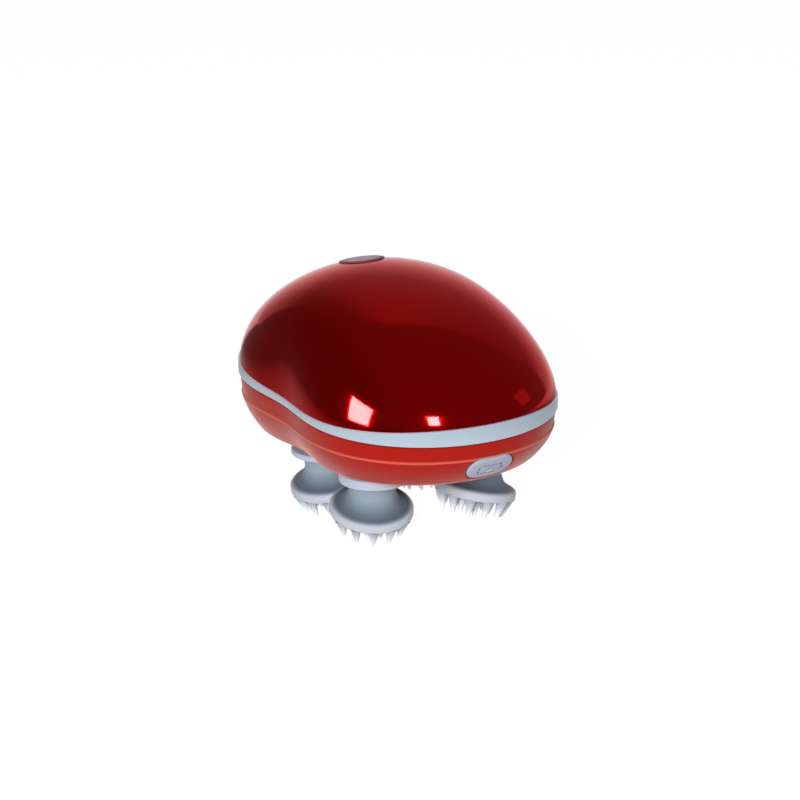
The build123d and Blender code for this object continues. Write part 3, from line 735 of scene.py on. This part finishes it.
def on_pan(x, y, lift=0.0):
    """The pan's surface over a point of the port's plane, raised along the plane's normal."""
    normal = PORT_PLANE.to_3x3() @ Vector((0, 0, 1))
    start = PORT_PLANE @ Vector((x, y, 6))
    hit = pan_surface.ray_cast(start, -normal, 12)[0]
    return hit + normal * lift


def under_pan(x, y):
    """Height of the pan's underside at a point."""
    return pan_surface.ray_cast(Vector((x, y, -5)), Vector((0, 0, 1)), 80)[0].z


def even(path, count):
    """Points at even distances along a closed path."""
    closed = [Vector(p) for p in path]
    lengths = [0.0]
    for before, after in zip(closed, closed[1:]):
        lengths.append(lengths[-1] + (after - before).length)
    result, index = [], 0
    for step in range(count):
        goal = lengths[-1] * step / count
        while lengths[index + 1] < goal:
            index += 1
        span = lengths[index + 1] - lengths[index]
        share = (goal - lengths[index]) / span if span else 0.0
        result.append(closed[index].lerp(closed[index + 1], share))
    return result


def box_loop(width, height, radius, count=120):
    """Points round a rounded rectangle, from the middle of its right side."""
    reach_x, reach_y = width / 2 - radius, height / 2 - radius
    path = [(width / 2, 0)]
    for x, y, start in ((reach_x, reach_y, 0), (-reach_x, reach_y, 90),
                        (-reach_x, -reach_y, 180), (reach_x, -reach_y, 270)):
        for step in range(17):
            angle = radians(start + 90 * step / 16)
            path.append((x + radius * cos(angle), y + radius * sin(angle)))
    path.append((width / 2, 0))
    return even(path, count)


def slot_loop(grow=0.0):
    """The outline of the flap, grown by so much."""
    height = FLAP_HEIGHT + 2 * grow
    return box_loop(FLAP_WIDTH + 2 * grow, height, height / 2)


def on_port(loop, depth):
    """A flat loop laid at a height over the port's plane."""
    return [PORT_PLANE @ Vector((p.x, p.y, depth)) for p in loop]


def pocket():
    """The lining of the flap's pocket: rounded mouth, wall, floor, and the socket's opening."""
    loops = []
    for step in range(7):
        turn = radians(15 * step)
        grow = FLAP_GAP + POCKET_EDGE * (1 - sin(turn))
        drop = POCKET_EDGE * (1 - cos(turn))
        loops.append([on_pan(p.x, p.y, -drop) for p in slot_loop(grow)])
    for depth, loop in (
        (PORT_FLOOR, slot_loop(FLAP_GAP)),
        (PORT_FLOOR, box_loop(*SOCKET_MOUTH)),
        (SOCKET_FACE, box_loop(*SOCKET_MOUTH)),
        (SOCKET_FACE, box_loop(*SOCKET_HOLE)),
    ):
        loops.append(on_port(loop, depth))
    loops.append([point + Vector((0, SOCKET_REACH, 0)) for point in loops[-1]])
    points, faces = rings(loops)
    piece = new_piece("pocket", points, faces)
    sharpen(piece, 40)
    return piece


def lining(x, y, radius, top):
    """The wall of a round hole in the pan's underside, with a rounded mouth."""
    segments, loops = 64, []
    for step in range(5):
        turn = radians(22.5 * step)
        reach = radius + HOLE_EDGE * (1 - sin(turn))
        loop = []
        for side in range(segments):
            angle = 2 * pi * side / segments
            place = (x + reach * cos(angle), y + reach * sin(angle))
            loop.append(Vector((*place, under_pan(*place) + HOLE_EDGE * (1 - cos(turn)))))
        loops.append(loop)
    loops.append([Vector((p.x, p.y, top)) for p in loops[-1]])
    points, faces = rings(loops)
    piece = new_piece("lining", points, [tuple(reversed(face)) for face in faces])
    sharpen(piece, 40)
    return piece


def post(x, y, radius, low, high):
    """A plain upright cylinder, for cutting."""
    return lathe("cutter", [(radius, low), (radius, high)], Matrix.Translation((x, y, 0)), 64)


def drive_points():
    """Where the axes of the four heads stand."""
    return [(signs[0] * HEADS_APART / 2, ARRAY_Y + signs[1] * HEADS_APART_LENGTHWISE / 2)
            for signs in CORNERS.values()]


def pan_piece():
    """The pan with its pocket, screw holes and the holes for the heads' necks."""
    shell = new_piece("pan", pan_points, pan_faces)
    mouth = slot_loop(FLAP_GAP + POCKET_EDGE)
    points, faces = rings([on_port(mouth, depth) for depth in (7, -8)], True, True)
    cutters = [new_piece("cutter", points, faces)]
    cutters += [post(x, y, SCREW_MOUTH, 10, SCREW_SEAT_Z) for x, y in SHELL_SCREWS]
    cutters += [post(x, y, NECK_MOUTH, 10, SEAL_Z + 4) for x, y in drive_points()]
    for cutter in cutters:
        outward(cutter)
    cut(shell, cutters)
    sharpen(shell, 35)
    parts = [shell, pocket()]
    parts += [lining(x, y, SCREW_HOLE, SCREW_SEAT_Z) for x, y in SHELL_SCREWS]
    parts += [lining(x, y, NECK_HOLE, SEAL_Z) for x, y in drive_points()]
    return join("pan", parts)


pan_shell = pan_piece()
dress(pan_shell, "red_satin")
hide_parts("lower_shell")
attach(pan_shell, "housing")


# ---------------------------------------------------------------- flap


def flap():
    """The pale flap over the charging port, with a plain battery sign sunk into its face."""
    loops = [on_port(slot_loop(-FLAP_BACK_EDGE), -FLAP_THICKNESS),
             on_port(slot_loop(), FLAP_BACK_EDGE - FLAP_THICKNESS)]
    for step in range(8):
        turn = radians(90 * step / 7)
        inset = FLAP_EDGE * (1 - cos(turn))
        lift = FLAP_STAND - FLAP_EDGE * (1 - sin(turn))
        loops.append([on_pan(p.x, p.y, lift) for p in slot_loop(-inset)])
    for step in range(1, 11):
        inset = FLAP_EDGE + (FLAP_HEIGHT / 2 - FLAP_EDGE - 0.12) * step / 10
        loops.append([on_pan(p.x, p.y, FLAP_STAND) for p in slot_loop(-inset)])
    points, faces = rings(loops, True, True)
    piece = new_piece("flap", points, faces)
    outward(piece)
    for sign in battery_sign():
        cut(piece, [sign])
    sharpen(piece, 50)
    paint_shade_in_grooves(piece)
    return piece


def paint_shade_in_grooves(piece):
    """Painted shade: the sign's grooves are darker at their bottom."""
    back = PORT_PLANE.inverted()
    wide, high = SIGN_REACH
    values = []
    for vertex in piece.data.vertices:
        local = back @ (vertex.co / MM)
        painted_groove_shade = 0.0
        if abs(local.x) < wide and abs(local.y) < high and local.z > -1.2:
            face = back @ on_pan(local.x, local.y, FLAP_STAND)
            painted_groove_shade = 1.0 if face.z - local.z > 0.06 else 0.0
        values.append(painted_groove_shade)
    store(piece, "painted_groove_shade", values)


def groove(path, radius, closed=False):
    """A round bar that follows a path over the flap's face, for cutting a groove."""
    count, sides = len(path), 8
    loops = []
    for index in range(count):
        after = path[(index + 1) % count] if closed or index + 1 < count else path[index]
        before = path[index - 1] if closed or index else path[index]
        along = (after - before).normalized()
        side = Vector((-along.y, along.x))
        loop = []
        for step in range(sides):
            angle = 2 * pi * step / sides
            flat = path[index] + side * radius * cos(angle)
            loop.append(on_pan(flat.x, flat.y, FLAP_STAND + 2 * radius * sin(angle)))
        loops.append(loop)
    points, faces = rings(loops, not closed, not closed)
    if closed:
        faces += loop_back(loops)
    piece = new_piece("groove", points, faces)
    outward(piece)
    return piece


def line(start, end, step=0.25):
    """Points at small even distances along a straight line."""
    start, end = Vector(start), Vector(end)
    count = max(1, round((end - start).length / step))
    return [start.lerp(end, index / count) for index in range(count)] + [end]


def battery_sign():
    """A battery's outline with its end cap and a bolt, as grooves."""
    body = [point + Vector((SIGN_SHIFT, 0)) for point in box_loop(*SIGN_BODY, 96)]
    strokes = [groove(body, GROOVE_RADIUS, True), groove(line(*SIGN_CAP), GROOVE_RADIUS)]
    for start, end in zip(SIGN_BOLT, SIGN_BOLT[1:]):
        strokes.append(groove(line(start, end), BOLT_GROOVE_RADIUS))
    return strokes


charge_flap = flap()
dress(charge_flap, "flap_rubber")
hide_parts("usb_flap")
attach(charge_flap, "flap")


# ---------------------------------------------------------------- button and bezel


def button():
    """The round button: a shallow dished cap, with a flange below that holds it in its seat."""
    low = BUTTON_STAND - BUTTON_THICKNESS
    skirt, flange = BUTTON_RADIUS - BUTTON_SKIRT, BUTTON_RADIUS + 1
    profile = rounded(
        [(0.2, BUTTON_STAND - 0.25), (3.6, BUTTON_STAND - 0.16), (skirt, BUTTON_STAND),
         (BUTTON_RADIUS, BUTTON_STAND), (BUTTON_RADIUS, low), (skirt, low), (skirt, FLANGE_TOP),
         (flange, FLANGE_TOP), (flange, FLANGE_LOW), (STEM_RADIUS, FLANGE_LOW),
         (STEM_RADIUS, STEM_LOW)],
        [0, 4, 0.8, 0.5, 0.1, 0, 0, 0.1, 0.1, 0, 0], 8)
    piece = lathe("button_cap", profile, BUTTON_PLANE, 96)
    outward(piece)
    sharpen(piece, 50)
    return piece


button_cap = button()
dress(button_cap, "button_red")
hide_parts("power_button")
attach(button_cap, "button")


def bezel():
    """The thin ring round the button."""
    inner, outer = BUTTON_RADIUS + BUTTON_GAP, BEZEL_RADIUS
    corners = [(inner, -BEZEL_DEPTH), (inner, BEZEL_STAND), (outer, BEZEL_STAND),
               (outer, -BEZEL_DEPTH)]
    section = rounded(corners, [0, 0.25, 0.45, 0], 8)
    piece = lathe("bezel", section + [section[0]], BUTTON_PLANE, 128, False, False)
    outward(piece)
    sharpen(piece, 50)
    return piece


bezel_ring = bezel()
dress(bezel_ring, "dark_trim")
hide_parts("button_bezel")
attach(bezel_ring, "housing")


# ---------------------------------------------------------------- heads and turntables


def bell_profile():
    """The head's back: rounded rim band, then a trumpet flare up to the neck."""
    inner = RIM_RADIUS - 3
    band = rounded(
        [(inner, 0), (RIM_RADIUS, 0), (RIM_RADIUS - 0.15, RIM_BAND - 0.6), (inner, RIM_BAND + 0.4)],
        [0, 0.9, 0.8, 0], 8)
    flare = smooth_curve(
        [(RIM_RADIUS - 2.0, RIM_BAND + 0.15), (RIM_RADIUS - 4.3, RIM_BAND + 1.5),
         (BELL_NECK_RADIUS + 0.7, RIM_BAND + 3.9), (BELL_NECK_RADIUS, RIM_BAND + 6.3),
         (BELL_NECK_RADIUS, BELL_TOP)], 8)
    return band[:-1] + flare


def prong(place, angle, root, tip):
    """One soft pointed prong, slanted from its root to its tip."""
    steps, sides = 10, 20
    loops = []
    for level in range(steps + 1):
        share = level / steps
        radius = PRONG_RADIUS + (PRONG_TIP_RADIUS - PRONG_RADIUS) * share**PRONG_TAPER
        radius += PRONG_FOOT * exp(-share * 14)
        depth = PRONG_SINK - (PRONG_LENGTH + PRONG_SINK) * share
        if level == steps:
            depth += 0.12
            radius *= 0.55
        reach = root + (tip - root) * share
        loop = []
        for side in range(sides):
            turn = 2 * pi * side / sides + angle
            flat = radius * (1 + 0.07 * cos(5 * (turn - angle)) * (1 - share))
            x = reach * cos(angle) + flat * cos(turn)
            y = reach * sin(angle) + flat * sin(turn)
            loop.append(place @ Vector((x, y, depth)))
        loops.append(loop)
    points, faces = rings(loops, False, True)
    return new_piece("prong", points, [tuple(reversed(face)) for face in faces])


def head_place(x, y):
    """A head's own frame, on its rim's plane, so high that the lowest prong tip is at the floor."""
    lean = atan2(y - ARRAY_Y, x) + radians(LEAN_TURN)
    tilt = radians(HEAD_TILT)
    count, _, tip = PRONG_RINGS[0]
    off_slope = min(PRONG_PHASE, 360 / count - PRONG_PHASE)
    reach = (tip + PRONG_TIP_RADIUS) * cos(radians(off_slope)) * sin(tilt)
    rim_z = reach + PRONG_LENGTH * cos(tilt)
    way = Vector((cos(lean), sin(lean), 0))
    up = Vector((0, 0, 1))
    origin = Vector((x, y, rim_z)) - way * RIM_OFFSET
    return plane_matrix(origin, way * sin(tilt) + up * cos(tilt), way * cos(tilt) - up * sin(tilt))


def trim_above(piece, height):
    """Cut off what lies above a height."""
    trimmed = bmesh.new()
    trimmed.from_mesh(piece.data)
    geometry = trimmed.verts[:] + trimmed.edges[:] + trimmed.faces[:]
    bmesh.ops.bisect_plane(trimmed, geom=geometry, plane_co=(0, 0, height * MM),
                           plane_no=(0, 0, 1), clear_outer=True)
    trimmed.to_mesh(piece.data)
    trimmed.free()


def paint_head_light_and_shade(piece, place):
    """Painted light: paler prong tips and rim band; painted shade in the bell's flare by the rim.
    """
    back = place.inverted()
    values = []
    for vertex in piece.data.vertices:
        local = back @ (vertex.co / MM)
        radius, height = sqrt(local.x**2 + local.y**2), local.z
        # prongs: painted light, paler towards their tips
        if height < 0.02:
            share = min(max(-height / PRONG_LENGTH, 0), 1)
            values.append(0.45 + 0.5 * share)
        # rim band: painted highlight
        elif radius > RIM_RADIUS - 1.4 and height < RIM_BAND:
            values.append(0.57)
        # flare: painted shade, darkest next to the rim
        else:
            values.append(0.38 * min(max((height - RIM_BAND) / 5.0, 0), 1))
    store(piece, "pale", values)


def head(corner, x, y):
    """A silicone head: bell and slanted prongs."""
    place = head_place(x, y)
    bell = lathe("bell", bell_profile(), place, 128)
    trim_above(bell, TURNTABLE_Z + 0.1)
    parts = [bell]
    for count, root, tip in PRONG_RINGS:
        for step in range(count):
            angle = radians(PRONG_PHASE) + 2 * pi * step / count
            parts.append(prong(place, angle, root, tip))
    piece = join(f"silicone_head_{corner}", parts)
    sharpen(piece, 50)
    paint_head_light_and_shade(piece, place)
    dress(piece, "grey_silicone")
    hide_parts(f"massage_head_{corner}")
    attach(piece, f"head_{corner}")


def turntable(corner, x, y):
    """The pale disc that carries a head."""
    far = y + TURNTABLE_RADIUS
    top = BELT_Z - PAN_DEPTH - tan(radians(PAN_RAKE)) * far - TURNTABLE_GAP
    profile = rounded(
        [(TURNTABLE_INNER_RADIUS, TURNTABLE_Z), (TURNTABLE_RADIUS, TURNTABLE_Z),
         (TURNTABLE_RADIUS, top), (NECK_RADIUS, top), (NECK_RADIUS, NECK_TOP)],
        [0, TURNTABLE_EDGE, TURNTABLE_EDGE, 0.3, 0])
    piece = lathe(f"disc_{corner}", profile, Matrix.Translation((x, y, 0)), 128)
    outward(piece)
    sharpen(piece, 50)
    dress(piece, "pale_plastic")
    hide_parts(f"turntable_{corner}")
    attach(piece, f"head_{corner}")


for corner_name, (corner_x, corner_y) in zip(CORNERS, drive_points()):
    head(corner_name, corner_x, corner_y)
    turntable(corner_name, corner_x, corner_y)


# ---------------------------------------------------------------- screws in the underside


def recess_bar(x, y, turn, low):
    """One bar of a screw's cross recess, for cutting."""
    corners = []
    for z in (low - 1, low + RECESS_DEPTH):
        for a, b in ((-1, -1), (1, -1), (1, 1), (-1, 1)):
            a, b = a * RECESS_LENGTH, b * RECESS_WIDTH
            over, up = a * cos(turn) - b * sin(turn), a * sin(turn) + b * cos(turn)
            corners.append((x + over, y + up, z))
    sides = [(0, 1, 5, 4), (1, 2, 6, 5), (2, 3, 7, 6), (3, 0, 4, 7)]
    return new_piece("bar", corners, [(3, 2, 1, 0), (4, 5, 6, 7)] + sides)


def screws():
    """The four shell screws, with cross recesses."""
    parts = []
    for x, y in SHELL_SCREWS:
        low = SCREW_SEAT_Z - SCREW_HEAD_HEIGHT
        profile = rounded(
            [(0.1, low), (SCREW_HEAD, low), (SCREW_HEAD, SCREW_SEAT_Z),
             (SCREW_RADIUS, SCREW_SEAT_Z), (SCREW_RADIUS, BELT_Z + 8)], [0, 0.5, 0, 0, 0])
        part = lathe("screw", profile, Matrix.Translation((x, y, 0)), 48)
        outward(part)
        cut(part, [recess_bar(x, y, turn, low) for turn in (RECESS_TURN, RECESS_TURN + pi / 2)])
        parts.append(part)
    piece = join("screws", parts)
    sharpen(piece, 40)
    dress(piece, "steel")
    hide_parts("shell_screws")
    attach(piece, "housing")


screws()


# ---------------------------------------------------------------- floor, light and camera


def floor():
    """A white floor: the camera hardly sees a shadow on it, and reflections see it fade far off."""
    side = FLOOR_SIZE / MM
    corners = [(-side, -side, 0), (side, -side, 0), (side, side, 0), (-side, side, 0)]
    piece = new_piece("floor", corners, [(0, 1, 2, 3)])
    made = bpy.data.materials.new("floor_white")
    made.use_nodes = True
    tree = made.node_tree
    tree.nodes.clear()
    place = object_place(tree)
    distance = node(tree, "VectorMath", {0: place}, operation="LENGTH").outputs["Value"]
    near = ramp(tree, distance, 0.06, 0.30, FLOOR_NEAR, FLOOR_FAR)
    behind = ramp(tree, along(tree, place, AWAY), 0.05, 0.25)
    beside = ramp(tree, along(tree, place, RIGHT + AWAY * 0.7), 0.0, 0.06)
    glow = compute(tree, "MAXIMUM", near, compute(tree, "MULTIPLY", behind, beside))
    mirrored = node(tree, "Emission", {"Strength": glow}).outputs["Emission"]
    paper = node(tree, "BsdfDiffuse", {"Color": (FLOOR_PAPER, FLOOR_PAPER, FLOOR_PAPER, 1)})
    white = node(tree, "Emission", {"Strength": FLOOR_GLOW})
    shown = node(tree, "AddShader", {0: paper.outputs["BSDF"], 1: white.outputs["Emission"]})
    by_camera = node(tree, "LightPath", {}).outputs["Is Camera Ray"]
    pick = node(tree, "MixShader", {"Fac": by_camera, 1: mirrored, 2: shown.outputs["Shader"]})
    node(tree, "OutputMaterial", {"Surface": pick.outputs["Shader"]})
    piece.data.materials.append(made)


floor()


def towards(azimuth, elevation, distance):
    """A place seen from the target: azimuth from the camera, positive to the picture's right."""
    a, e = radians(azimuth), radians(elevation)
    level = -AWAY * cos(a) * cos(e) + RIGHT * sin(a) * cos(e)
    return TARGET + (level + Vector((0, 0, sin(e)))) * distance


def area_light(name, place, size, power, colour=(1, 1, 1), only=None, roll=0.0):
    """A soft light aimed at the target; with only, it is just a reflection on that piece."""
    light = bpy.data.lights.new(name, "AREA")
    light.shape = "RECTANGLE"
    light.size, light.size_y = size
    light.energy = power
    light.color = colour
    lamp = bpy.data.objects.new(name, light)
    bpy.context.scene.collection.objects.link(lamp)
    lamp.location = place
    aim = (TARGET - place).to_track_quat("-Z", "Y").to_matrix()
    lamp.rotation_euler = (aim @ Matrix.Rotation(radians(roll), 3, "Z")).to_euler()
    lamp.visible_glossy = only is not None
    if only is not None:
        lamp.visible_diffuse = False
        lamp.visible_transmission = False
        lit = bpy.data.collections.new(name)
        lit.objects.link(only)
        lamp.light_linking.receiver_collection = lit


area_light("front_fill", towards(-12, 20, 1.2), (0.3, 0.25), 18.5)
area_light("right_fill", towards(62, 25, 1.2), (0.4, 0.4), 2.5)
area_light("left_box", towards(-56, 11, 1.0), (0.36, 0.52), 110, (1.0, 0.93, 0.95),
           crown_shell, -8)
area_light("front_box", towards(12, 22, 1.3), (0.2, 0.36), 56, (1.0, 0.9, 0.93), crown_shell)
area_light("right_box", towards(97, 20, 1.0), (0.22, 0.28), 0.08, (1.0, 0.75, 0.75), crown_shell)


def surround():
    """White for the camera; reflections see a bright wall behind and a dim room in front."""
    world = bpy.data.worlds.new("surround")
    bpy.context.scene.world = world
    world.use_nodes = True
    tree = world.node_tree
    tree.nodes.clear()

    def multiply(first, second):
        return compute(tree, "MULTIPLY", first, second)

    # The wall is flat: a direction meets it at side and high, in units of its distance.
    place = node(tree, "TexCoord", {}).outputs["Generated"]
    ahead = compute(tree, "MAXIMUM", along(tree, place, AWAY), 0.001)
    side = compute(tree, "DIVIDE", along(tree, place, RIGHT), ahead)
    high = compute(tree, "DIVIDE", along(tree, place, (0, 0, 1)), ahead)
    left_lean = multiply(compute(tree, "MINIMUM", high, 2.2), 0.2)
    right_lean = multiply(compute(tree, "MAXIMUM", high, 1.2), 0.8)
    left_edge = ramp(tree, compute(tree, "ADD", side, left_lean), -0.84, -0.72)
    right_edge = ramp(tree, compute(tree, "ADD", side, right_lean), 2.25, 2.0)
    wall = multiply(multiply(left_edge, right_edge), ramp(tree, high, 2.9, 2.4))
    left_fade = ramp(tree, side, -0.8, -0.05, 0.5, 1.0)
    right_fade = ramp(tree, side, 0.15, 0.9, 1.0, 0.75)
    glow = ramp(tree, high, 0.15, 0.7, WALL_LOW, WALL_HIGH)
    glow = multiply(glow, multiply(left_fade, right_fade))
    room = ramp(tree, along(tree, place, RIGHT), -0.8, 0.0, ROOM_LEFT, ROOM_RIGHT)
    lit = multiply(wall, compute(tree, "SUBTRACT", glow, room))
    mirrored = compute(tree, "ADD", room, lit)

    path = node(tree, "LightPath", {})
    soft, seen, white = [
        node(tree, "Background", {"Strength": strength}).outputs["Background"]
        for strength in (SOFT_FILL, mirrored, 1.0)
    ]
    inputs = {"Fac": path.outputs["Is Glossy Ray"], 1: soft, 2: seen}
    first = node(tree, "MixShader", inputs).outputs["Shader"]
    inputs = {"Fac": path.outputs["Is Camera Ray"], 1: first, 2: white}
    second = node(tree, "MixShader", inputs).outputs["Shader"]
    node(tree, "OutputWorld", {"Surface": second})


surround()


def camera():
    """The camera, at the photograph's angle."""
    lens = bpy.data.cameras.new("camera")
    lens.lens = 135
    lens.sensor_width = 36
    lens.shift_x = 0.012
    lens.shift_y = -0.0071
    lens.dof.use_dof = False
    seat = bpy.data.objects.new("camera", lens)
    bpy.context.scene.collection.objects.link(seat)
    back = -AWAY * cos(radians(ELEVATION)) + Vector((0, 0, sin(radians(ELEVATION))))
    seat.location = TARGET + back * DISTANCE
    seat.rotation_euler = back.to_track_quat("Z", "Y").to_euler()
    bpy.context.scene.camera = seat


camera()
bpy.context.scene.view_settings.view_transform = "Standard"
